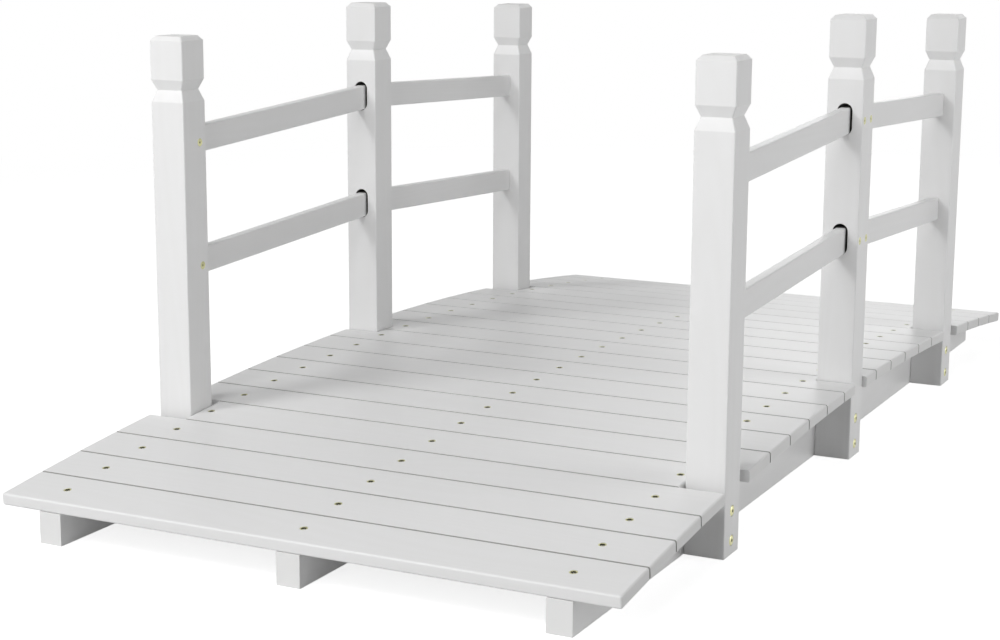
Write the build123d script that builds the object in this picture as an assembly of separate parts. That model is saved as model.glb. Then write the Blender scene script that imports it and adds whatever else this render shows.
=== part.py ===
from build123d import *
import math
import os

# Garden footbridge in painted wood: a shallow arched deck on three beams,
# with three posts and two pairs of sloping rails on each side.
# Millimetres. +X runs along the span, +Y to the left, +Z up.
# The origin is on the ground, under the middle of the deck.

# Deck
SPAN = 1524.0              # length over the end boards
DECK_WIDTH = 730.0         # length of one deck board
DECK_RADIUS = 6140.0       # radius of the arch along the boards' top
DECK_TOP = 97.0            # height of the arch's crown
BOARD_THICK = 14.0
BOARD_COUNT = 22
POST_BOARD_NUMBERS = (5, 18)   # boards that end between two end posts
POST_BOARD_PITCH = 75.2    # room along the arch of a board between end posts
MIDDLE_BOARD_NUMBERS = (11, 12)  # boards notched round the middle posts
BOARD_GAP = 2.5            # open joint between two boards
BOARD_END_EDGE = 2.6       # rounding over a board's ends
BOARD_OUTER_EDGE = 2.4     # rounding of the deck's first and last edge
BOARD_JOINT_EDGE = 0.7     # rounding of the edges along a joint

# Beams
BEAM_THICK = 28.0
BEAM_END_SETBACK = 2.0     # deck overhang past the beams' ends
OUTER_BEAM_FACE = 315.0    # outer face of an outer beam from the middle

# Posts
POST_SIDE = 45.0
POST_EDGE = 1.5            # rounding of the post's corners
POST_CLEARANCE = 1.0       # between a post and the board end behind it
NOTCH_CLEARANCE = 2.5      # between a middle post and its notched boards
END_POST_HEIGHT = 527.5
MIDDLE_POST_HEIGHT = 547.5
CAP_BEVEL_HEIGHT = 5.3     # sloping edge at the top of the cap
CAP_BEVEL_INSET = 4.7
CAP_BLOCK = 50.5           # top of the post down to the groove
GROOVE_UPPER = 12.0        # height of the groove's upper slope
GROOVE_LOWER = 14.0        # height of the groove's lower slope
GROOVE_DEPTH = 5.0

# Rails
RAIL_THICK = 13.0
RAIL_DEPTH = 32.0
RAIL_EDGE = 2.0            # rounding of the rail's long edges
RAIL_RISE = 20.0           # from an end post up to the middle post
RAIL_HEIGHTS = {"upper": 422.0, "lower": 275.0}  # middle of the rail at the middle post
RAIL_TENON = 24.0          # length of rail held in an end post
RAIL_MEETING_GAP = 2.0     # between two rails inside the middle post
SLOT_WIDTH = 19.0          # routed slot through the middle post
SLOT_HEIGHT = 39.0
SLOT_SEAT = 1.7            # lowest point of the slot below the rail

# Holes that the screws and bolts sit in
SCREW_HEAD_RADIUS = 5.0    # mouth of a countersink
SCREW_NECK_RADIUS = 2.0    # foot of a countersink
SCREW_SINK = 2.8           # depth of a countersink
BOLT_POCKET_RADIUS = 6.2
BOLT_POCKET_DEPTH = 2.4
BOLT_HEIGHTS = (15.5, 48.2)    # post bolts above the ground
MIDDLE_SCREW_X = 13.2      # rail screws from the middle of a middle post
END_SCREW_X = 10.2         # rail screws from the middle of an end post

# Worked out from the sizes above
ARCH_CENTRE_Z = DECK_TOP - DECK_RADIUS
ARC_HALF = DECK_RADIUS * math.asin(SPAN / 2 / DECK_RADIUS)
PLAIN_COUNT = BOARD_COUNT - len(POST_BOARD_NUMBERS)
PLAIN_PITCH = (2 * ARC_HALF - len(POST_BOARD_NUMBERS) * POST_BOARD_PITCH) / PLAIN_COUNT
POST_BOARD_START = (POST_BOARD_NUMBERS[0] - 1) * PLAIN_PITCH
POST_BOARD_ARC = POST_BOARD_START + POST_BOARD_PITCH / 2 - ARC_HALF
POST_X = -DECK_RADIUS * math.sin(POST_BOARD_ARC / DECK_RADIUS)
POST_Y = OUTER_BEAM_FACE + POST_SIDE / 2
OUTER_BEAM_Y = OUTER_BEAM_FACE - BEAM_THICK / 2
RAIL_ANGLE = math.atan(RAIL_RISE / POST_X)


def board_pitch(number):
    """Room along the arch that one board takes."""
    return POST_BOARD_PITCH if number in POST_BOARD_NUMBERS else PLAIN_PITCH


def board_span(number):
    """Where a board begins and ends along the arch, measured from the crown."""
    start = sum(board_pitch(n) for n in range(1, number)) - ARC_HALF
    end = start + board_pitch(number)
    if number > 1:
        start += BOARD_GAP / 2
    if number < BOARD_COUNT:
        end -= BOARD_GAP / 2
    return start, end


def countersink():
    """The cone that a screw head sits in, mouth up, with its mouth at the origin."""
    return Pos(0, 0, -SCREW_SINK / 2) * Cone(SCREW_NECK_RADIUS, SCREW_HEAD_RADIUS, SCREW_SINK)


def deck_board(number):
    """A flat board lying square on the arch, with a screw over each beam."""
    start, end = board_span(number)
    width = end - start
    length = DECK_WIDTH
    if number in POST_BOARD_NUMBERS:
        length = 2 * (OUTER_BEAM_FACE - POST_CLEARANCE)
    board = Box(width, length, BOARD_THICK)
    board = fillet(board.edges().filter_by(Axis.X), BOARD_END_EDGE)
    near_edge = BOARD_OUTER_EDGE if number == 1 else BOARD_JOINT_EDGE
    far_edge = BOARD_OUTER_EDGE if number == BOARD_COUNT else BOARD_JOINT_EDGE
    board = fillet(board.faces().sort_by(Axis.X)[0].edges(), near_edge)
    board = fillet(board.faces().sort_by(Axis.X)[-1].edges(), far_edge)
    for y in (-OUTER_BEAM_Y, 0, OUTER_BEAM_Y):
        board -= Pos(0, y, BOARD_THICK / 2) * countersink()
    angle = (start + end) / 2 / DECK_RADIUS
    radius = DECK_RADIUS - BOARD_THICK / 2
    x = radius * math.sin(angle)
    z = ARCH_CENTRE_Z + radius * math.cos(angle)
    board = Pos(x, 0, z) * Rot(0, math.degrees(angle), 0) * board
    if number in MIDDLE_BOARD_NUMBERS:
        notch_x = POST_SIDE + 2 * NOTCH_CLEARANCE
        notch_y = DECK_WIDTH / 2 - OUTER_BEAM_FACE + POST_CLEARANCE
        notch = Box(notch_x, 2 * notch_y, 4 * BOARD_THICK)
        for side in (-1, 1):
            board -= Pos(0, side * DECK_WIDTH / 2, z) * notch
    return board


def beam(y):
    """A beam with a flat foot and an arched top."""
    half = SPAN / 2 - BEAM_END_SETBACK
    radius = DECK_RADIUS - BOARD_THICK
    end_height = ARCH_CENTRE_Z + math.sqrt(radius ** 2 - half ** 2)
    crown = DECK_TOP - BOARD_THICK
    outline = [
        Line((-half, end_height), (-half, 0)),
        Line((-half, 0), (half, 0)),
        Line((half, 0), (half, end_height)),
        ThreePointArc((half, end_height), (0, crown), (-half, end_height)),
    ]
    face = Plane.XZ * make_face(outline)
    return Pos(0, y, 0) * extrude(face, BEAM_THICK / 2, both=True)


def post_section(side, z):
    """Square section of a post with rounded corners."""
    return Pos(0, 0, z) * RectangleRounded(side, side, POST_EDGE)


def plain_post(height):
    """A square post with a grooved neck and a bevelled cap, at the origin."""
    groove_top = height - CAP_BLOCK
    neck = groove_top - GROOVE_UPPER
    shoulder = neck - GROOVE_LOWER
    bevel = height - CAP_BEVEL_HEIGHT
    neck_side = POST_SIDE - 2 * GROOVE_DEPTH
    top_side = POST_SIDE - 2 * CAP_BEVEL_INSET
    post = extrude(post_section(POST_SIDE, 0), shoulder)
    post += loft([post_section(POST_SIDE, shoulder), post_section(neck_side, neck)], ruled=True)
    post += loft([post_section(neck_side, neck), post_section(POST_SIDE, groove_top)], ruled=True)
    post += extrude(post_section(POST_SIDE, groove_top), bevel - groove_top)
    post += loft([post_section(POST_SIDE, bevel), post_section(top_side, height)], ruled=True)
    return post


def on_side_face(x, face, z):
    """A place on the post's +Y or -Y face, turned so that +Z points out of it."""
    return Pos(x, face * POST_SIDE / 2, z) * Rot(-face * 90, 0, 0)


def bolt_pocket():
    """The round pocket of a post bolt, with its mouth at the origin."""
    return Cylinder(BOLT_POCKET_RADIUS, 2 * BOLT_POCKET_DEPTH)


def drilled_post(height, outward, screws):
    """A post with two bolt pockets at its foot and countersinks for the rail screws."""
    post = plain_post(height)
    for z in BOLT_HEIGHTS:
        post -= on_side_face(0, outward, z) * bolt_pocket()
    for x, face, z in screws:
        post -= on_side_face(x, face, z) * countersink()
    return post


def rail_height(level, from_middle):
    """Height of a rail's middle line at a distance from the middle post's centre."""
    return RAIL_HEIGHTS[level] - abs(from_middle) * math.tan(RAIL_ANGLE)


def rail(level, end, y):
    """A rail from inside an end post up to the middle of the middle post."""
    inner = RAIL_MEETING_GAP / 2
    outer = POST_X - POST_SIDE / 2 + RAIL_TENON
    length = (outer - inner) / math.cos(RAIL_ANGLE)
    bar = Box(length, RAIL_THICK, RAIL_DEPTH)
    bar = fillet(bar.edges().filter_by(Axis.X), RAIL_EDGE)
    x = end * (inner + outer) / 2
    z = rail_height(level, x)
    return Pos(x, y, z) * Rot(0, end * math.degrees(RAIL_ANGLE), 0) * bar


def rail_slot(level):
    """The round-ended slot that both rails enter in a middle post."""
    rail_foot = rail_height(level, POST_SIDE / 2) - RAIL_DEPTH / 2 / math.cos(RAIL_ANGLE)
    z = rail_foot - SLOT_SEAT + SLOT_HEIGHT / 2
    profile = Plane.YZ * (Rot(0, 0, 90) * SlotOverall(SLOT_HEIGHT, SLOT_WIDTH))
    return Pos(0, 0, z) * extrude(profile, POST_SIDE, both=True)


ENDS = {"near": -1, "far": 1}
SIDES = {"left": 1, "right": -1}

parts = {}

for number in range(1, BOARD_COUNT + 1):
    parts[f"deck_board_{number:02d}"] = deck_board(number)

parts["beam_left"] = beam(OUTER_BEAM_Y)
parts["beam_middle"] = beam(0)
parts["beam_right"] = beam(-OUTER_BEAM_Y)

for side, sign in SIDES.items():
    y = sign * POST_Y
    screws = [
        (x, sign, rail_height(level, x))
        for x in (-MIDDLE_SCREW_X, MIDDLE_SCREW_X)
        for level in RAIL_HEIGHTS
    ]
    middle_post = drilled_post(MIDDLE_POST_HEIGHT, sign, screws)
    for level in RAIL_HEIGHTS:
        middle_post -= rail_slot(level)
    parts[f"post_{side}_middle"] = Pos(0, y, 0) * middle_post
    for end_name, end in ENDS.items():
        # near rails are screwed from the deck, far rails from the left
        face = -sign if end_name == "near" else 1
        screws = [
            (-end * END_SCREW_X, face, rail_height(level, POST_X - END_SCREW_X))
            for level in RAIL_HEIGHTS
        ]
        end_post = Pos(end * POST_X, y, 0) * drilled_post(END_POST_HEIGHT, sign, screws)
        for level in RAIL_HEIGHTS:
            bar = rail(level, end, y)
            end_post -= bar
            parts[f"rail_{side}_{end_name}_{level}"] = bar
        parts[f"post_{side}_{end_name}"] = end_post

os.makedirs("parts", exist_ok=True)
for name, shape in parts.items():
    export_step(shape, f"parts/{name}.step")
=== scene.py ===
import math

import bpy
from mathutils import Matrix, Vector


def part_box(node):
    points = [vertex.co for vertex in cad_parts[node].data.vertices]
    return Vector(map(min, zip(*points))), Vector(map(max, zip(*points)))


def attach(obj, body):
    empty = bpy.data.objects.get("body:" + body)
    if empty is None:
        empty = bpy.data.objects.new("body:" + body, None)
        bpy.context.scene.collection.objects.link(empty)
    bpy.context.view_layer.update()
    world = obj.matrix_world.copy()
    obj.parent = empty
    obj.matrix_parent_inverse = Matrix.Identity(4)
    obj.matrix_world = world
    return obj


bl_info = {
    "name": "Garden Bridge",
    "version": (1, 0, 0),
    "blender": (4, 5, 0),
    "location": "3D View > Sidebar > Garden Bridge",
    "description": "Paints an arched garden footbridge, sets its screws and bolts and lights it",
    "category": "Object",
}

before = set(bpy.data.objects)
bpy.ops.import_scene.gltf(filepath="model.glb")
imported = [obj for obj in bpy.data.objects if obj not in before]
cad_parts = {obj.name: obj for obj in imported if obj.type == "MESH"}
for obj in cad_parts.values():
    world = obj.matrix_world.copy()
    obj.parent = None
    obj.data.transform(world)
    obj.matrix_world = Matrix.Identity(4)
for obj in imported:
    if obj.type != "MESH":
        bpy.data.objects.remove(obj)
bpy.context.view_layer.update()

# Everything is in metres in the frame of the solids:
# X along the span, Y to the left across the deck, Z up from the ground.

BOARDS = sorted(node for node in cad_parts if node.startswith("deck_board_"))
BEAMS = sorted(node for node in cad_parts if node.startswith("beam_"))
POSTS = sorted(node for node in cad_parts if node.startswith("post_"))
RAILS = sorted(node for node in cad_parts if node.startswith("rail_"))
LEVELS = ("upper", "lower")
POST_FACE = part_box("post_left_middle")[0].y

MM = 0.001
FIT = 0.05 * MM            # gap between a screw's head and its countersink

# the face of an end post that its rail screws enter: 1 looks to the left, -1 to the right
RAIL_SCREW_SIDES = {
    "post_left_near": -1,
    "post_left_far": 1,
    "post_right_near": 1,
    "post_right_far": 1,
}


def middle(node):
    """Middle of a node's box."""
    low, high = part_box(node)
    return (low + high) / 2


class BridgePaintSettings(bpy.types.PropertyGroup):
    """The white satin paint and the wood that shows through it."""

    colour: bpy.props.FloatVectorProperty(
        name="Paint colour",
        description="Colour of the paint on open faces",
        subtype="COLOR",
        size=3,
        min=0,
        max=1,
        default=(0.84, 0.84, 0.84),
    )
    grain_colour: bpy.props.FloatVectorProperty(
        name="Grain colour",
        description="Colour along the growth rings, where the paint has sunk in",
        subtype="COLOR",
        size=3,
        min=0,
        max=1,
        default=(0.80, 0.798, 0.79),
    )
    end_colour: bpy.props.FloatVectorProperty(
        name="End grain colour",
        description="Colour of the sawn ends, which drink more paint",
        subtype="COLOR",
        size=3,
        min=0,
        max=1,
        default=(0.80, 0.80, 0.795),
    )
    worn_colour: bpy.props.FloatVectorProperty(
        name="Worn edge colour",
        description="Colour along the edges, where the paint is thin",
        subtype="COLOR",
        size=3,
        min=0,
        max=1,
        default=(0.79, 0.775, 0.74),
    )
    # painted shade: this dark grey stands in for the shade that falls into the narrow gaps between the
    # boards
    joint_shade_colour: bpy.props.FloatVectorProperty(
        name="Joint colour",
        description="Colour of the thin, dusty paint in the joints between the boards",
        subtype="COLOR",
        size=3,
        min=0,
        max=1,
        default=(0.42, 0.415, 0.40),
    )
    # painted shade: this near-black stands in for the shade deep inside the middle posts' slots and on
    # the rails in them
    slot_shade_colour: bpy.props.FloatVectorProperty(
        name="Slot colour",
        description="Colour of the bare, dusty wood inside the middle posts",
        subtype="COLOR",
        size=3,
        min=0,
        max=1,
        default=(0.09, 0.087, 0.08),
    )
    roughness: bpy.props.FloatProperty(
        name="Roughness",
        description="Roughness of the satin paint",
        subtype="FACTOR",
        min=0,
        max=1,
        default=0.42,
    )
    gloss: bpy.props.FloatProperty(
        name="Gloss",
        description="Specular level of the paint on posts, beams and rails",
        subtype="FACTOR",
        min=0,
        max=1,
        default=0.5,
    )
    board_gloss: bpy.props.FloatProperty(
        name="Board gloss",
        description="Specular level of the paint on the deck boards",
        subtype="FACTOR",
        min=0,
        max=1,
        default=0.28,
    )
    relief: bpy.props.FloatProperty(
        name="Grain relief",
        description="Height of the grain and the brush marks in the paint",
        unit="LENGTH",
        min=0,
        default=0.12 * MM,
        precision=5,
    )
    edge: bpy.props.FloatProperty(
        name="Soft edge",
        description="Rounding that the paint gives to sharp edges",
        unit="LENGTH",
        min=0,
        default=0.5 * MM,
        precision=5,
    )
    post_edge: bpy.props.FloatProperty(
        name="Soft edge of the posts",
        description="Rounding of the sanded edges round the posts' caps and grooves",
        unit="LENGTH",
        min=0,
        default=1.2 * MM,
        precision=5,
    )


class BridgeFastenerSettings(bpy.types.PropertyGroup):
    """Screws of the deck and rails, and bolts at the feet of the posts."""

    arch_radius: bpy.props.FloatProperty(
        name="Arch radius",
        description="Radius of the deck along the top of its boards",
        unit="LENGTH",
        default=6.140,
    )
    board_thickness: bpy.props.FloatProperty(
        name="Board thickness",
        description="Thickness of a deck board",
        unit="LENGTH",
        default=14 * MM,
    )
    rail_rise: bpy.props.FloatProperty(
        name="Rail rise",
        description="Rise of a rail from an end post to the middle post",
        unit="LENGTH",
        default=20 * MM,
    )
    screw_mouth: bpy.props.FloatProperty(
        name="Countersink radius",
        description="Radius of a countersink at the face of the wood",
        unit="LENGTH",
        default=5.0 * MM,
        precision=5,
    )
    screw_neck: bpy.props.FloatProperty(
        name="Screw neck radius",
        description="Radius of a countersink at its foot, where the shank begins",
        unit="LENGTH",
        default=2.0 * MM,
        precision=5,
    )
    screw_depth: bpy.props.FloatProperty(
        name="Countersink depth",
        description="Depth of the countersink that a head sits in",
        unit="LENGTH",
        default=2.8 * MM,
        precision=5,
    )
    deck_sink: bpy.props.FloatProperty(
        name="Deck screw sink",
        description="Depth of a deck screw's head below the board's face",
        unit="LENGTH",
        default=0.45 * MM,
        precision=5,
    )
    rail_sink: bpy.props.FloatProperty(
        name="Rail screw sink",
        description="Depth of a rail screw's head below the post's face",
        unit="LENGTH",
        default=0.1 * MM,
        precision=5,
    )
    deck_cross: bpy.props.FloatProperty(
        name="Deck screw cross",
        description="Length of the two bars that cut a deck screw's recess, at their upper ends",
        unit="LENGTH",
        default=7.6 * MM,
        precision=5,
    )
    deck_bar: bpy.props.FloatProperty(
        name="Deck screw bar",
        description="Width of each of those bars, as a share of its length",
        subtype="FACTOR",
        min=0,
        max=1,
        default=0.52,
    )
    rail_cross: bpy.props.FloatProperty(
        name="Rail screw cross",
        description="Length of the two bars that cut a rail screw's recess, at their upper ends",
        unit="LENGTH",
        default=3.6 * MM,
        precision=5,
    )
    rail_bar: bpy.props.FloatProperty(
        name="Rail screw bar",
        description="Width of each of those bars, as a share of its length",
        subtype="FACTOR",
        min=0,
        max=1,
        default=0.3,
    )
    bolt_radius: bpy.props.FloatProperty(
        name="Bolt head radius",
        description="Radius of a foot bolt's head",
        unit="LENGTH",
        default=6.0 * MM,
        precision=5,
    )
    bolt_height: bpy.props.FloatProperty(
        name="Bolt head height",
        description="Height of a foot bolt's head above the floor of its pocket",
        unit="LENGTH",
        default=3.1 * MM,
        precision=5,
    )
    bolt_pocket: bpy.props.FloatProperty(
        name="Bolt pocket depth",
        description="Depth of the round pocket that a foot bolt sits in",
        unit="LENGTH",
        default=2.4 * MM,
        precision=5,
    )
    bolt_key: bpy.props.FloatProperty(
        name="Bolt key size",
        description="Width across the flats of the six-sided socket",
        unit="LENGTH",
        default=3.4 * MM,
        precision=5,
    )
    lower_bolt: bpy.props.FloatProperty(
        name="Lower bolt",
        description="Height of the lower foot bolt above the ground",
        unit="LENGTH",
        default=15.5 * MM,
        precision=5,
    )
    upper_bolt: bpy.props.FloatProperty(
        name="Upper bolt",
        description="Height of the upper foot bolt above the ground",
        unit="LENGTH",
        default=48.2 * MM,
        precision=5,
    )
    middle_screw: bpy.props.FloatProperty(
        name="Middle post screw",
        description="Distance of a rail screw from the middle line of a middle post",
        unit="LENGTH",
        default=13.2 * MM,
        precision=5,
    )
    end_screw: bpy.props.FloatProperty(
        name="End post screw",
        description="Distance of a rail screw from the middle line of an end post",
        unit="LENGTH",
        default=10.2 * MM,
        precision=5,
    )
    zinc_colour: bpy.props.FloatVectorProperty(
        name="Zinc colour",
        description="Colour of the yellow zinc plating",
        subtype="COLOR",
        size=3,
        min=0,
        max=1,
        default=(0.66, 0.64, 0.37),
    )
    # painted shade: the dark recess colour stands in for the shade inside the screws' recesses and the
    # bolts' sockets
    recess_shade_colour: bpy.props.FloatVectorProperty(
        name="Recess colour",
        description="Colour of the dull metal inside the recesses",
        subtype="COLOR",
        size=3,
        min=0,
        max=1,
        default=(0.10, 0.095, 0.06),
    )
    tarnish_colour: bpy.props.FloatVectorProperty(
        name="Tarnish colour",
        description="Colour of the plating where it has dulled",
        subtype="COLOR",
        size=3,
        min=0,
        max=1,
        default=(0.44, 0.44, 0.24),
    )


class BridgeStageSettings(bpy.types.PropertyGroup):
    """Camera, lamps and floor."""

    camera_place: bpy.props.FloatVectorProperty(
        name="Camera place",
        description="Place of the camera",
        subtype="TRANSLATION",
        size=3,
        default=(-2.4228, -1.0536, 0.6729),
    )
    camera_aim: bpy.props.FloatVectorProperty(
        name="Camera aim",
        description="Point that the camera's axis goes through",
        subtype="TRANSLATION",
        size=3,
        default=(-0.4163, 0.0, 0.2102),
    )
    focal_length: bpy.props.FloatProperty(
        name="Focal length",
        description="Focal length for a sensor 36 mm wide",
        default=73.19,
    )
    shift: bpy.props.FloatVectorProperty(
        name="Shift",
        description="Shift of the picture, in widths of the frame",
        size=2,
        default=(0.0540, 0.0034),
        precision=4,
    )
    floor_radius: bpy.props.FloatProperty(
        name="Floor radius",
        description="Radius of the pale floor",
        unit="LENGTH",
        default=14.0,
    )
    lit_radius: bpy.props.FloatProperty(
        name="Shadow radius",
        description="Radius of the floor that shows the bridge's shadow",
        unit="LENGTH",
        default=1.6,
    )
    floor_tone: bpy.props.FloatProperty(
        name="Floor tone",
        description="Grey of the floor, which sends light up under the bridge",
        subtype="FACTOR",
        min=0,
        max=1,
        default=0.6,
    )
    floor_glow: bpy.props.FloatProperty(
        name="Floor glow",
        description="Light added to the floor as it is seen, so that only the shadow shows on it",
        subtype="FACTOR",
        min=0,
        max=1,
        default=0.78,
    )
    sky: bpy.props.FloatProperty(
        name="Room light",
        description="Strength of the even light from all sides",
        default=0.18,
    )


def paint_settings():
    return bpy.context.scene.bridge_paint


def fastener_settings():
    return bpy.context.scene.bridge_fasteners


def stage_settings():
    return bpy.context.scene.bridge_stage


# Materials

# Patterns in the paint. A stretch below 1 draws the noise out along the grain.
RINGS = {"stretch": 0.07, "scale": 9, "detail": 1, "distortion": 0.4}
FIBRE = {"stretch": 0.012, "scale": 620, "detail": 3}
BRUSH = {"stretch": 0.02, "scale": 170, "detail": 2}
MOTTLE = {"stretch": 0.5, "scale": 7, "detail": 2}
RING_LINES = 52            # contour lines drawn over the rings' noise
RING_TINT = 0.35           # how far the rings take the grain colour
MOTTLE_TINT = 0.5          # how far the mottle wipes the rings out again
SAWN_END = 0.8             # least part of the normal along the grain on a sawn end
EDGE_BEGINS = 0.99         # likeness of the true and the softened normal where wear begins
EDGE_FULL = 0.86           # and where it is full
STREAK_ROUGHNESS = 0.12    # added by the brush marks
STREAK_MEAN = 0.06         # mean of what the brush marks add
END_ROUGHNESS = 0.12       # added on the sawn ends
SHADE_ROUGHNESS = 0.4     # added in the joints and slots, where shade is painted
RING_RELIEF = 0.35         # shares of the relief's height
FIBRE_RELIEF = 0.4
BRUSH_RELIEF = 0.6
RELIEF_STRENGTH = 0.6

# Where shade is painted into the colour: the joints between the boards and the slots in the middle posts
JOINT_FACING = 0.7         # part of the normal along the span where a joint's colour is half there
JOINT_FADE = 0.4           # range of that part over which the colour comes in
OUTER_EDGE = 6 * MM        # width of the deck's first and last edge, which stay painted
POST_REACH = 42 * MM       # how far from a post's middle the boards' sides stand open
SLOT_MOUTH = 1.2 * MM      # depth into a slot at which its painted shade is half there
SLOT_REACH = 10 * MM       # half the width of a slot, with some room
SLOT_MARGIN = 32 * MM      # height of a slot above and below a rail's middle, with some room


def add_node(tree, kind, place, inputs=None, **settings):
    """A node at a place in the editor, with its settings and its sockets' values."""
    node = tree.nodes.new(kind)
    node.location = place
    for name, value in settings.items():
        setattr(node, name, value)
    for name, value in (inputs or {}).items():
        node.inputs[name].default_value = value
    return node


def new_material(name):
    """A material that holds only its output node."""
    material = bpy.data.materials.new(name)
    material.use_nodes = True
    material.node_tree.nodes.clear()
    add_node(material.node_tree, "ShaderNodeOutputMaterial", (1500, 0))
    return material


def colour_mix(tree, place, factor, first, second):
    """A colour mixed from two, each a colour or the output of another node."""
    node = add_node(tree, "ShaderNodeMix", place, data_type="RGBA")
    sockets = {socket.identifier: socket for socket in node.inputs}
    for name, value in (("Factor_Float", factor), ("A_Color", first), ("B_Color", second)):
        if isinstance(value, bpy.types.NodeSocket):
            tree.links.new(value, sockets[name])
        elif name == "Factor_Float":
            sockets[name].default_value = value
        else:
            sockets[name].default_value = (*value, 1)
    return next(socket for socket in node.outputs if socket.identifier == "Result_Color")


def maths(tree, place, operation, *values):
    """The result of a Math node, each value a number or the output of another node."""
    node = add_node(tree, "ShaderNodeMath", place, operation=operation)
    for socket, value in zip(node.inputs, values):
        if isinstance(value, bpy.types.NodeSocket):
            tree.links.new(value, socket)
        else:
            socket.default_value = value
    return node.outputs["Value"]


def noise(tree, place, coordinates, stretch, scale, detail, distortion=0.0):
    """Noise on coordinates that are first scaled along each axis."""
    mapping = add_node(tree, "ShaderNodeMapping", place, {"Scale": stretch})
    x, y = place
    values = {"Scale": scale, "Detail": detail, "Roughness": 0.55, "Distortion": distortion}
    texture = add_node(tree, "ShaderNodeTexNoise", (x + 180, y), values)
    tree.links.new(coordinates, mapping.inputs["Vector"])
    tree.links.new(mapping.outputs["Vector"], texture.inputs["Vector"])
    return texture.outputs["Fac"]


def own_coordinates(tree, place):
    """Object coordinates with a jump of its own for each piece, so that no two boards match."""
    x, y = place
    coordinates = add_node(tree, "ShaderNodeTexCoord", place)
    piece = add_node(tree, "ShaderNodeObjectInfo", (x, y - 260))
    jump = add_node(tree, "ShaderNodeVectorMath", (x + 180, y - 260), operation="SCALE")
    jump.inputs[0].default_value = (17, 11, 23)
    total = add_node(tree, "ShaderNodeVectorMath", (x + 360, y), operation="ADD")
    tree.links.new(piece.outputs["Random"], jump.inputs["Scale"])
    tree.links.new(coordinates.outputs["Object"], total.inputs[0])
    tree.links.new(jump.outputs["Vector"], total.inputs[1])
    return total.outputs["Vector"]


def nearness(tree, place, value, centre, reach, soft):
    """1 where a value is nearer to a centre than the reach, fading to 0 over a soft border."""
    x, y = place
    shifted = maths(tree, place, "SUBTRACT", value, centre)
    distance = maths(tree, (x + 160, y), "ABSOLUTE", shifted)
    values = {"From Min": reach + soft / 2, "From Max": reach - soft / 2}
    border = add_node(tree, "ShaderNodeMapRange", (x + 320, y), values)
    tree.links.new(distance, border.inputs["Value"])
    return border.outputs["Result"]


def joint_shade_sides(tree, place, position, normal):
    """The sides of the boards that face another board over a joint, where the shade in the gap is
    painted into their colour.
    """
    x, y = place
    upright = maths(tree, (x - 160, y), "ABSOLUTE", normal.outputs["X"])
    sides = nearness(tree, place, upright, 1, 1 - JOINT_FACING, JOINT_FADE)
    inner_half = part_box(BOARDS[-1])[1].x - OUTER_EDGE
    between = nearness(tree, (x, y - 160), position.outputs["X"], 0, inner_half, 4 * MM)
    joints = maths(tree, (x + 500, y), "MULTIPLY", sides, between)

    # by the posts the boards' sides stand open beyond the posts' inner faces
    across = maths(tree, (x - 160, y - 320), "ABSOLUTE", position.outputs["Y"])
    inside = nearness(tree, (x, y - 320), across, 0, POST_FACE, 0.5 * MM)
    along = maths(tree, (x - 160, y - 480), "ABSOLUTE", position.outputs["X"])
    for number, post in enumerate(("post_left_middle", "post_left_far")):
        low = y - 480 - 160 * number
        by_post = nearness(tree, (x, low), along, middle(post).x, POST_REACH, 2 * MM)
        away = maths(tree, (x + 500, low), "SUBTRACT", 1, by_post)
        kept = maths(tree, (x + 660, low), "MAXIMUM", away, inside)
        joints = maths(tree, (x + 820, low), "MULTIPLY", joints, kept)
    return joints


def slot_shade_insides(tree, place, position, normal):
    """The space inside the middle posts' slots, for the slots' walls and the rails in them, whose shade
    is painted as a near-black colour.
    """
    x, y = place
    post = middle("post_left_middle")
    low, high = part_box("post_left_middle")
    depth = (high.x - low.x) / 2 - SLOT_MOUTH
    deep = nearness(tree, place, position.outputs["X"], post.x, depth, SLOT_MOUTH)
    across = maths(tree, (x - 160, y - 160), "ABSOLUTE", position.outputs["Y"])
    thick = nearness(tree, (x, y - 160), across, post.y, SLOT_REACH, 0.4 * MM)
    lower, upper = (middle(f"rail_left_near_{level}").z for level in ("lower", "upper"))
    reach = (upper - lower) / 2 + SLOT_MARGIN
    tall = nearness(tree, (x, y - 320), position.outputs["Z"], (lower + upper) / 2, reach, 1 * MM)
    first = maths(tree, (x + 500, y), "MULTIPLY", deep, thick)
    return maths(tree, (x + 660, y), "MULTIPLY", first, tall)


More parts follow.
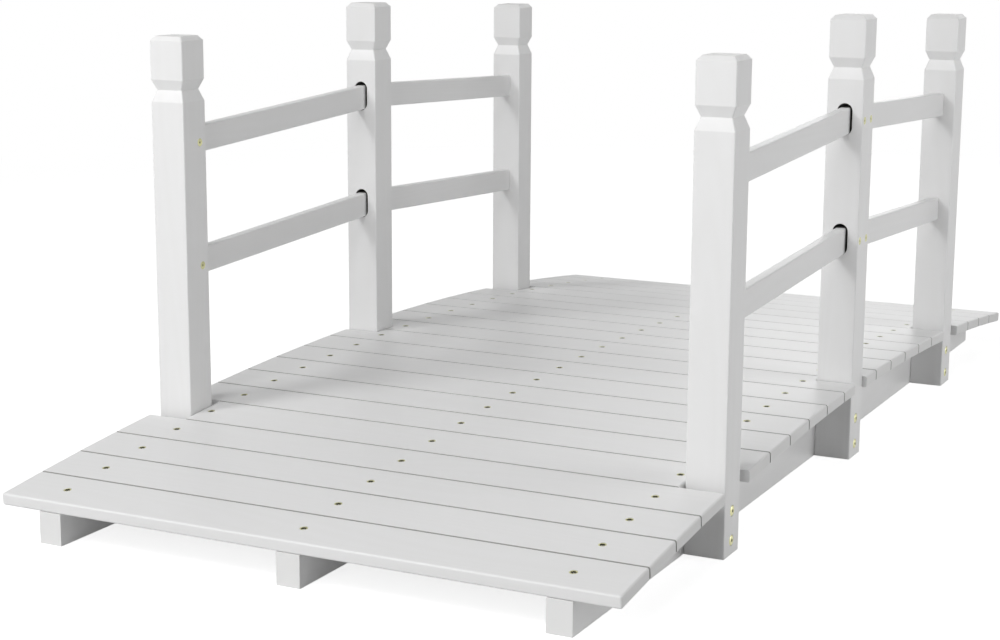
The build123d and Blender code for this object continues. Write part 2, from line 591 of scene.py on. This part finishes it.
def painted_wood(name, grain_axis, painted_shade, gloss, rounding):
    """White satin paint on sawn softwood whose grain runs along axis 0, 1 or 2.

    The third argument holds the function that finds the joints or slots where shade is painted, and the
    colour of that painted shade.
    """
    painted_shade_part, painted_shade_colour = painted_shade
    paint = paint_settings()
    material = new_material(name)
    tree = material.node_tree
    links = tree.links
    coordinates = own_coordinates(tree, (-1500, 0))

    def grain(place, stretch, **pattern):
        """Noise drawn out along the grain."""
        scales = tuple(stretch if axis == grain_axis else 1 for axis in range(3))
        return noise(tree, place, coordinates, scales, **pattern)

    # growth rings: contour lines of a broad, long noise
    broad = grain((-900, 400), **RINGS)
    lines = maths(tree, (-500, 400), "MULTIPLY", broad, RING_LINES)
    rings = maths(tree, (-330, 400), "PINGPONG", lines, 1)
    fibre = grain((-900, 150), **FIBRE)
    brush = grain((-900, -100), **BRUSH)
    mottle = grain((-900, -350), **MOTTLE)

    # faces: which ones are sawn ends, and how near a point is to an edge
    geometry = add_node(tree, "ShaderNodeNewGeometry", (-900, -620))
    split = add_node(tree, "ShaderNodeSeparateXYZ", (-720, -620))
    links.new(geometry.outputs["Normal"], split.inputs["Vector"])
    facing = maths(tree, (-540, -620), "ABSOLUTE", split.outputs[grain_axis])
    end = maths(tree, (-360, -620), "GREATER_THAN", facing, SAWN_END)
    soft = add_node(tree, "ShaderNodeBevel", (-720, -820), {"Radius": rounding}, samples=6)
    likeness = add_node(tree, "ShaderNodeVectorMath", (-540, -820), operation="DOT_PRODUCT")
    links.new(soft.outputs["Normal"], likeness.inputs[0])
    links.new(geometry.outputs["Normal"], likeness.inputs[1])
    values = {"From Min": EDGE_BEGINS, "From Max": EDGE_FULL}
    edge = add_node(tree, "ShaderNodeMapRange", (-360, -820), values)
    links.new(likeness.outputs["Value"], edge.inputs["Value"])
    thin = maths(tree, (-180, -820), "MULTIPLY", edge.outputs["Result"], mottle)

    # the joints or slots, where shade is painted
    plain = add_node(tree, "ShaderNodeTexCoord", (-1500, -1200))
    position = add_node(tree, "ShaderNodeSeparateXYZ", (-1300, -1200))
    links.new(plain.outputs["Object"], position.inputs["Vector"])
    shaded = painted_shade_part(tree, (-900, -1200), position, split)

    # colour
    ring_share = maths(tree, (-150, 400), "MULTIPLY", rings, RING_TINT)
    grained = colour_mix(tree, (20, 400), ring_share, paint.colour, paint.grain_colour)
    mottle_share = maths(tree, (-150, 150), "MULTIPLY", mottle, MOTTLE_TINT)
    mottled = colour_mix(tree, (200, 400), mottle_share, grained, paint.colour)
    ended = colour_mix(tree, (380, 400), end, mottled, paint.end_colour)
    worn = colour_mix(tree, (560, 400), thin, ended, paint.worn_colour)
    # painted shade: the joints and slots take a dark colour that stands in for the shade in them
    colour = colour_mix(tree, (740, 400), shaded, worn, painted_shade_colour)

    # roughness
    streaks = maths(tree, (200, 50), "MULTIPLY", brush, STREAK_ROUGHNESS)
    satin = maths(tree, (380, 50), "ADD", streaks, paint.roughness - STREAK_MEAN)
    dry_ends = maths(tree, (380, -120), "MULTIPLY", end, END_ROUGHNESS)
    painted = maths(tree, (560, 50), "ADD", satin, dry_ends)
    dull = maths(tree, (560, -120), "MULTIPLY", shaded, SHADE_ROUGHNESS)
    roughness = maths(tree, (740, 50), "ADD", painted, dull)

    # relief
    ring_height = maths(tree, (20, -300), "MULTIPLY", rings, RING_RELIEF)
    fibre_height = maths(tree, (20, -460), "MULTIPLY", fibre, FIBRE_RELIEF)
    brush_height = maths(tree, (20, -620), "MULTIPLY", brush, BRUSH_RELIEF)
    wood = maths(tree, (200, -300), "ADD", ring_height, fibre_height)
    height = maths(tree, (380, -300), "ADD", wood, brush_height)
    values = {"Distance": paint.relief, "Strength": RELIEF_STRENGTH}
    bump = add_node(tree, "ShaderNodeBump", (740, -300), values)
    links.new(height, bump.inputs["Height"])
    links.new(soft.outputs["Normal"], bump.inputs["Normal"])

    shader = add_node(tree, "ShaderNodeBsdfPrincipled", (1100, 0), {"Specular IOR Level": gloss})
    links.new(colour, shader.inputs["Base Color"])
    links.new(roughness, shader.inputs["Roughness"])
    links.new(bump.outputs["Normal"], shader.inputs["Normal"])
    links.new(shader.outputs["BSDF"], tree.nodes["Material Output"].inputs["Surface"])
    return material


def yellow_zinc():
    """Steel with yellow zinc plating, a little cloudy and dulled."""
    sizes = fastener_settings()
    material = new_material("yellow_zinc")
    tree = material.node_tree
    links = tree.links
    coordinates = own_coordinates(tree, (-1500, 0))
    cloud = noise(tree, (-900, 200), coordinates, (1, 1, 1), 260, 3, 0.5)
    scratch = noise(tree, (-900, -100), coordinates, (1, 1, 1), 2600, 2)
    colour = colour_mix(tree, (-300, 200), cloud, sizes.zinc_colour, sizes.tarnish_colour)
    roughness = add_node(tree, "ShaderNodeMapRange", (-300, -50), {"To Min": 0.24, "To Max": 0.5})
    bump = add_node(tree, "ShaderNodeBump", (-300, -350), {"Distance": 0.03 * MM, "Strength": 0.5})
    shader = add_node(tree, "ShaderNodeBsdfPrincipled", (600, 0), {"Metallic": 1.0})
    links.new(cloud, roughness.inputs["Value"])
    links.new(scratch, bump.inputs["Height"])
    links.new(colour, shader.inputs["Base Color"])
    links.new(roughness.outputs["Result"], shader.inputs["Roughness"])
    links.new(bump.outputs["Normal"], shader.inputs["Normal"])
    links.new(shader.outputs["BSDF"], tree.nodes["Material Output"].inputs["Surface"])
    return material


def recess_shade_metal():
    """Dull dark metal inside the recesses; its dark colour is painted shade, standing in for the shade
    deep in them.
    """
    sizes = fastener_settings()
    material = new_material("recess_shade_metal")
    tree = material.node_tree
    coordinates = own_coordinates(tree, (-1500, 0))
    cloud = noise(tree, (-900, 200), coordinates, (1, 1, 1), 900, 2)
    # a still darker share of the recess colour, more painted shade
    deeper_shade = tuple(share / 3 for share in sizes.recess_shade_colour)
    colour = colour_mix(tree, (-300, 200), cloud, sizes.recess_shade_colour, deeper_shade)
    values = {"Metallic": 0.7, "Roughness": 0.6}
    shader = add_node(tree, "ShaderNodeBsdfPrincipled", (600, 0), values)
    tree.links.new(colour, shader.inputs["Base Color"])
    tree.links.new(shader.outputs["BSDF"], tree.nodes["Material Output"].inputs["Surface"])
    return material


METALS = {"yellow_zinc": yellow_zinc, "recess_shade_metal": recess_shade_metal}


def material_named(name):
    """A metal of the fasteners, made when it is first asked for."""
    return bpy.data.materials.get(name) or METALS[name]()


def dress(nodes, material):
    """Gives solids of the frame a material."""
    for name in nodes:
        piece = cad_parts[name]
        piece.data.materials.clear()
        piece.data.materials.append(material)


# Shaping

SAME = 0.01 * MM           # how near two heights are taken to be one
UPRIGHT = 0.9              # least part of the normal along z on a level face
SMOOTH_ANGLE = 35          # degrees over which an edge stays sharp
SCREW_RIM = 0.25 * MM      # rounding of a screw head's rim, and the flat inside it
SCREW_DISH = 0.1 * MM      # hollow of a screw head's top
RECESS_DEPTH = 0.3         # depth of a cross recess, as a share of its bars' length
RECESS_TAPER = 0.6         # size of a bar's lower end, as a share of its upper end
BOLT_RIM = 2.2 * MM        # rounding of a bolt head's rim
SOCKET_DEPTH = 2.1 * MM    # depth of the six-sided socket in a bolt


def deselect():
    bpy.ops.object.select_all(action="DESELECT")


def edit_faces(piece, wanted):
    """Enters edit mode with only the wanted faces selected."""
    mesh = piece.data
    mesh.vertices.foreach_set("select", [False] * len(mesh.vertices))
    mesh.edges.foreach_set("select", [False] * len(mesh.edges))
    mesh.polygons.foreach_set("select", [wanted(face) for face in mesh.polygons])
    bpy.ops.object.mode_set(mode="EDIT")
    bpy.ops.mesh.select_mode(type="FACE")


def leave_edit():
    bpy.ops.object.mode_set(mode="OBJECT")


def top_face(z):
    """A test for the flat faces at a height that face up."""
    return lambda face: face.normal.z > UPRIGHT and abs(face.center.z - z) < SAME


def carve(piece, cutter):
    """Cuts a cutter out of a piece and takes the cutter away."""
    deselect()
    bpy.context.view_layer.objects.active = piece
    piece.select_set(True)
    cut = piece.modifiers.new("recess", "BOOLEAN")
    cut.operation = "DIFFERENCE"
    cut.solver = "EXACT"
    cut.material_mode = "TRANSFER"
    cut.object = cutter
    bpy.ops.object.modifier_apply(modifier=cut.name)
    bpy.data.objects.remove(cutter)


def round_rim(piece, z, width, steps):
    """Rounds the rim of the piece's flat top."""
    edit_faces(piece, top_face(z))
    bpy.ops.mesh.region_to_loop()
    bpy.ops.mesh.bevel(offset=width, segments=steps, affect="EDGES")
    leave_edit()


def finish_shape(piece):
    """Smooths the round faces and leaves the sharper edges as they are."""
    deselect()
    piece.select_set(True)
    bpy.context.view_layer.objects.active = piece
    bpy.ops.object.transform_apply(location=True, rotation=True, scale=True)
    bpy.ops.object.shade_smooth_by_angle(angle=math.radians(SMOOTH_ANGLE))


def recess_bar(length, width, depth, z):
    """A tapered bar that cuts half of a cross recess. Its upper half stands above the head."""
    deselect()
    bpy.ops.mesh.primitive_cube_add(size=1, location=(0, 0, z), scale=(length, width, 2 * depth))
    bar = bpy.context.object
    bpy.ops.object.transform_apply(location=True, rotation=False, scale=True)
    edit_faces(bar, lambda face: face.normal.z < -UPRIGHT)
    taper = (RECESS_TAPER, RECESS_TAPER, 1)
    bpy.ops.transform.resize(value=taper, center_override=(0, 0, z))
    leave_edit()
    # the recess faces that this bar cuts take its dark metal, which paints the recess's shade
    bar.data.materials.append(material_named("recess_shade_metal"))
    return bar


def screw_head(sink, cross, bar_share):
    """A countersunk head for a countersink whose mouth is at z = 0, with a cross recess."""
    sizes = fastener_settings()
    bar = bar_share * cross
    slope = (sizes.screw_mouth - sizes.screw_neck) / sizes.screw_depth
    top = -sink
    height = sizes.screw_depth - sink
    deselect()
    bpy.ops.mesh.primitive_cone_add(
        vertices=24,
        radius1=sizes.screw_neck - FIT,
        radius2=sizes.screw_mouth - slope * sink - FIT,
        depth=height,
        location=(0, 0, top - height / 2),
    )
    head = bpy.context.object
    head.data.materials.append(material_named("yellow_zinc"))
    bpy.ops.object.transform_apply(location=True, rotation=False, scale=False)
    round_rim(head, top, SCREW_RIM, 2)
    edit_faces(head, top_face(top))
    bpy.ops.mesh.inset(thickness=SCREW_RIM, depth=-SCREW_DISH)
    leave_edit()
    for length, width in ((cross, bar), (bar, cross)):
        carve(head, recess_bar(length, width, RECESS_DEPTH * cross, top))
    finish_shape(head)
    return head


def bolt_head():
    """A low, round-edged bolt head with a six-sided socket, for a pocket whose mouth is at z = 0."""
    sizes = fastener_settings()
    floor = -sizes.bolt_pocket
    top = floor + sizes.bolt_height
    deselect()
    bpy.ops.mesh.primitive_cylinder_add(
        vertices=32,
        radius=sizes.bolt_radius,
        depth=sizes.bolt_height,
        location=(0, 0, (floor + top) / 2),
    )
    head = bpy.context.object
    head.data.materials.append(material_named("yellow_zinc"))
    bpy.ops.object.transform_apply(location=True, rotation=False, scale=False)
    round_rim(head, top, BOLT_RIM, 5)
    deselect()
    bpy.ops.mesh.primitive_cylinder_add(
        vertices=6,
        radius=sizes.bolt_key / math.sqrt(3),
        depth=2 * SOCKET_DEPTH,
        location=(0, 0, top),
    )
    socket = bpy.context.object
    # the socket's walls take this dark metal, which paints the socket's shade
    socket.data.materials.append(material_named("recess_shade_metal"))
    carve(head, socket)
    finish_shape(head)
    return head


def fit_copy(pattern, name, place, out, turn):
    """A copy of a head with its own mesh, set in a face that looks out, and turned in its hole."""
    piece = pattern.copy()
    piece.data = pattern.data.copy()
    piece.name = name
    piece.data.name = name
    facing = out.to_track_quat("Z", "Y").to_matrix().to_4x4()
    piece.data.transform(Matrix.Translation(place) @ facing @ Matrix.Rotation(turn, 4, "Z"))
    bpy.context.scene.collection.objects.link(piece)
    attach(piece, "root")
    return piece


def turn_of(number):
    """How far a screw is turned: each stops at its own angle."""
    return math.radians(137.5 * number)


def rail_height(post, level, x):
    """Height of a rail's middle line at x, in the bay that the rail runs through."""
    side = post.split("_")[1]
    end = "near" if x < 0 else "far"
    rail = middle(f"rail_{side}_{end}_{level}")
    slope = fastener_settings().rail_rise / abs(middle(f"post_{side}_{end}").x)
    return rail.z + (abs(rail.x) - abs(x)) * slope


def face_point(post, side, x, z):
    """A point on the post's face that looks to the left (1) or to the right (-1)."""
    low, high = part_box(post)
    return Vector((x, high.y if side > 0 else low.y, z))


class BRIDGE_OT_paint_boards(bpy.types.Operator):
    """Paints the deck boards, whose grain runs across the bridge"""

    bl_idname = "bridge.paint_boards"
    bl_label = "Paint the Deck Boards"

    def execute(self, context):
        paint = paint_settings()
        painted_shade = (joint_shade_sides, paint.joint_shade_colour)
        dress(BOARDS, painted_wood("paint_on_boards", 1, painted_shade, paint.board_gloss, paint.edge))
        return {"FINISHED"}


class BRIDGE_OT_paint_beams_and_rails(bpy.types.Operator):
    """Paints the beams and the rails, whose grain runs along the bridge"""

    bl_idname = "bridge.paint_beams_and_rails"
    bl_label = "Paint the Beams and Rails"

    def execute(self, context):
        paint = paint_settings()
        painted_shade = (slot_shade_insides, paint.slot_shade_colour)
        material = painted_wood("paint_on_beams_and_rails", 0, painted_shade, paint.gloss, paint.edge)
        dress(BEAMS + RAILS, material)
        return {"FINISHED"}


class BRIDGE_OT_paint_posts(bpy.types.Operator):
    """Paints the posts, whose grain runs upwards"""

    bl_idname = "bridge.paint_posts"
    bl_label = "Paint the Posts"

    def execute(self, context):
        paint = paint_settings()
        painted_shade = (slot_shade_insides, paint.slot_shade_colour)
        dress(POSTS, painted_wood("paint_on_posts", 2, painted_shade, paint.gloss, paint.post_edge))
        return {"FINISHED"}


class BRIDGE_OT_deck_screws(bpy.types.Operator):
    """Sets three countersunk screws in each deck board, one over each beam"""

    bl_idname = "bridge.deck_screws"
    bl_label = "Add the Deck Screws"

    def execute(self, context):
        sizes = fastener_settings()
        pattern = screw_head(sizes.deck_sink, sizes.deck_cross, sizes.deck_bar)
        count = 0
        for board in BOARDS:
            place = middle(board)
            tilt = math.asin(place.x / (sizes.arch_radius - sizes.board_thickness / 2))
            out = Vector((math.sin(tilt), 0, math.cos(tilt)))
            top = place + out * sizes.board_thickness / 2
            for beam in BEAMS:
                side = beam.split("_")[1]
                name = board.replace("deck_board", "deck_screw") + "_" + side
                point = Vector((top.x, middle(beam).y, top.z))
                fit_copy(pattern, name, point, out, turn_of(count))
                count += 1
        bpy.data.objects.remove(pattern)
        return {"FINISHED"}


class BRIDGE_OT_rail_screws(bpy.types.Operator):
    """Sets the screws that hold the rails in the posts"""

    bl_idname = "bridge.rail_screws"
    bl_label = "Add the Rail Screws"

    def execute(self, context):
        sizes = fastener_settings()
        pattern = screw_head(sizes.rail_sink, sizes.rail_cross, sizes.rail_bar)
        count = 0
        for post in POSTS:
            centre = middle(post)
            if post.endswith("middle"):
                side = math.copysign(1, centre.y)
                places = {"near": -sizes.middle_screw, "far": sizes.middle_screw}
            else:
                side = RAIL_SCREW_SIDES[post]
                inward = -math.copysign(sizes.end_screw, centre.x)
                places = {"end": centre.x + inward}
            for label, x in places.items():
                for level in LEVELS:
                    name = f"{post.replace('post', 'rail_screw')}_{label}_{level}"
                    point = face_point(post, side, x, rail_height(post, level, x))
                    fit_copy(pattern, name, point, Vector((0, side, 0)), turn_of(count))
                    count += 1
        bpy.data.objects.remove(pattern)
        return {"FINISHED"}


class BRIDGE_OT_foot_bolts(bpy.types.Operator):
    """Sets two bolts in the foot of each post"""

    bl_idname = "bridge.foot_bolts"
    bl_label = "Add the Foot Bolts"

    def execute(self, context):
        sizes = fastener_settings()
        pattern = bolt_head()
        for number, post in enumerate(POSTS):
            centre = middle(post)
            side = math.copysign(1, centre.y)
            # the small share from the height turns the two bolts of a post apart
            for label, z in (("lower", sizes.lower_bolt), ("upper", sizes.upper_bolt)):
                name = f"{post.replace('post', 'foot_bolt')}_{label}"
                point = face_point(post, side, centre.x, z)
                fit_copy(pattern, name, point, Vector((0, side, 0)), turn_of(number + z))
        bpy.data.objects.remove(pattern)
        return {"FINISHED"}


# Stage


def seen_share(tree, place):
    """1 for a ray from the camera, a gloss or glass, and 0 for light that falls on things."""
    x, y = place
    path = add_node(tree, "ShaderNodeLightPath", place)
    seen = maths(tree, (x + 200, y), "ADD", path.outputs["Is Camera Ray"], path.outputs["Is Glossy Ray"])
    return maths(tree, (x + 380, y), "ADD", seen, path.outputs["Is Transmission Ray"])


def white_room():
    """Even pale light, and plain white where the camera, metal or glass looks past the bridge."""
    world = bpy.data.worlds.new("white_room")
    bpy.context.scene.world = world
    world.use_nodes = True
    tree = world.node_tree
    tree.nodes.clear()
    shown = seen_share(tree, (-800, 200))
    values = {"Color": (1, 1, 1, 1), "Strength": stage_settings().sky}
    room = add_node(tree, "ShaderNodeBackground", (-420, 0), values)
    white = add_node(tree, "ShaderNodeBackground", (-420, -160), {"Color": (1, 1, 1, 1)})
    mix = add_node(tree, "ShaderNodeMixShader", (-200, 0))
    output = add_node(tree, "ShaderNodeOutputWorld", (0, 0))
    tree.links.new(shown, mix.inputs["Fac"])
    tree.links.new(room.outputs["Background"], mix.inputs[1])
    tree.links.new(white.outputs["Background"], mix.inputs[2])
    tree.links.new(mix.outputs["Shader"], output.inputs["Surface"])


def floor_material():
    """Pale floor that shows the bridge's shadow and fades to plain white round it."""
    stage = stage_settings()
    material = new_material("pale_floor")
    tree = material.node_tree
    links = tree.links
    coordinates = add_node(tree, "ShaderNodeTexCoord", (-1200, 0))
    length = add_node(tree, "ShaderNodeVectorMath", (-1000, 0), operation="LENGTH")
    values = {"From Min": stage.lit_radius, "From Max": 2 * stage.lit_radius}
    fade = add_node(tree, "ShaderNodeMapRange", (-800, 0), values)
    shown = seen_share(tree, (-800, 400))
    far = maths(tree, (-420, 200), "MULTIPLY", shown, fade.outputs["Result"])
    tone = (stage.floor_tone, stage.floor_tone, stage.floor_tone, 1)
    matt = add_node(tree, "ShaderNodeBsdfDiffuse", (-420, 0), {"Color": tone})
    glow = add_node(tree, "ShaderNodeEmission", (-420, -160), {"Color": (1, 1, 1, 1)})
    glow_share = maths(tree, (-420, -300), "MULTIPLY", shown, stage.floor_glow)
    pale = add_node(tree, "ShaderNodeAddShader", (-200, 0))
    white = add_node(tree, "ShaderNodeEmission", (-200, -160), {"Color": (1, 1, 1, 1)})
    mix = add_node(tree, "ShaderNodeMixShader", (0, 0))
    links.new(coordinates.outputs["Object"], length.inputs[0])
    links.new(length.outputs["Value"], fade.inputs["Value"])
    links.new(glow_share, glow.inputs["Strength"])
    links.new(matt.outputs["BSDF"], pale.inputs[0])
    links.new(glow.outputs["Emission"], pale.inputs[1])
    links.new(far, mix.inputs["Fac"])
    links.new(pale.outputs["Shader"], mix.inputs[1])
    links.new(white.outputs["Emission"], mix.inputs[2])
    links.new(mix.outputs["Shader"], tree.nodes["Material Output"].inputs["Surface"])
    return material


def lay_floor():
    """A round floor just under the bridge's feet."""
    deselect()
    bpy.ops.mesh.primitive_circle_add(
        vertices=96,
        radius=stage_settings().floor_radius,
        fill_type="NGON",
        location=(0, 0, -0.2 * MM),
    )
    floor = bpy.context.object
    floor.name = "floor"
    bpy.ops.object.transform_apply(location=True, rotation=False, scale=False)
    floor.data.materials.append(floor_material())


LAMPS = {
    # name: place, size in metres, strength
    "front": ((-3.6, 0.2, 0.9), 1.6, 3.2),
    "front_high": ((-2.8, 0.0, 2.6), 1.8, 2.8),
    "front_left_high": ((-2.6, 1.8, 2.8), 1.0, 15.5),
    "right": ((0.3, -2.2, 0.8), 1.2, 3.0),
    "back": ((3.4, 0.2, 1.2), 1.8, 1.5),
}


def hang_lamp(name, place, size, strength):
    """A square lamp that looks at the middle of the bridge. The camera doesn't see it."""
    data = bpy.data.lights.new(name, "AREA")
    data.shape = "SQUARE"
    data.size = size
    data.energy = strength * math.pi * size**2
    lamp = bpy.data.objects.new(name, data)
    aim = Vector((0, 0, 0.25))
    lamp.location = place
    lamp.rotation_euler = (aim - Vector(place)).to_track_quat("-Z", "Y").to_euler()
    lamp.visible_camera = False
    bpy.context.scene.collection.objects.link(lamp)


def place_camera():
    """The camera, where the photograph was taken from."""
    stage = stage_settings()
    data = bpy.data.cameras.new("camera")
    data.sensor_width = 36
    data.lens = stage.focal_length
    data.shift_x, data.shift_y = stage.shift
    data.clip_end = 100
    camera = bpy.data.objects.new("camera", data)
    place = Vector(stage.camera_place)
    camera.location = place
    camera.rotation_euler = (Vector(stage.camera_aim) - place).to_track_quat("-Z", "Y").to_euler()
    bpy.context.scene.collection.objects.link(camera)
    bpy.context.scene.camera = camera


class BRIDGE_OT_stage(bpy.types.Operator):
    """Sets up the pale floor, the lamps and the camera"""

    bl_idname = "bridge.stage"
    bl_label = "Set Up the Stage"

    def execute(self, context):
        context.scene.view_settings.view_transform = "Standard"
        white_room()
        lay_floor()
        for name, (place, size, strength) in LAMPS.items():
            hang_lamp(name, place, size, strength)
        place_camera()
        return {"FINISHED"}


OPERATORS = (
    BRIDGE_OT_paint_boards,
    BRIDGE_OT_paint_beams_and_rails,
    BRIDGE_OT_paint_posts,
    BRIDGE_OT_deck_screws,
    BRIDGE_OT_rail_screws,
    BRIDGE_OT_foot_bolts,
    BRIDGE_OT_stage,
)


class BRIDGE_PT_panel(bpy.types.Panel):
    """Lists the steps that paint, fasten and light the bridge"""

    bl_label = "Garden Bridge"
    bl_idname = "BRIDGE_PT_panel"
    bl_space_type = "VIEW_3D"
    bl_region_type = "UI"
    bl_category = "Garden Bridge"

    def draw(self, context):
        for operator in OPERATORS:
            self.layout.operator(operator.bl_idname)


SETTINGS = {
    "bridge_paint": BridgePaintSettings,
    "bridge_fasteners": BridgeFastenerSettings,
    "bridge_stage": BridgeStageSettings,
}
CLASSES = (*SETTINGS.values(), *OPERATORS, BRIDGE_PT_panel)


def register():
    for cls in CLASSES:
        bpy.utils.register_class(cls)
    for name, group in SETTINGS.items():
        setattr(bpy.types.Scene, name, bpy.props.PointerProperty(type=group))


def unregister():
    for name in SETTINGS:
        delattr(bpy.types.Scene, name)
    for cls in reversed(CLASSES):
        bpy.utils.unregister_class(cls)


def main():
    register()
    bpy.ops.bridge.paint_boards()
    bpy.ops.bridge.paint_beams_and_rails()
    bpy.ops.bridge.paint_posts()
    bpy.ops.bridge.deck_screws()
    bpy.ops.bridge.rail_screws()
    bpy.ops.bridge.foot_bolts()
    bpy.ops.bridge.stage()


if __name__ == "__main__":
    main()
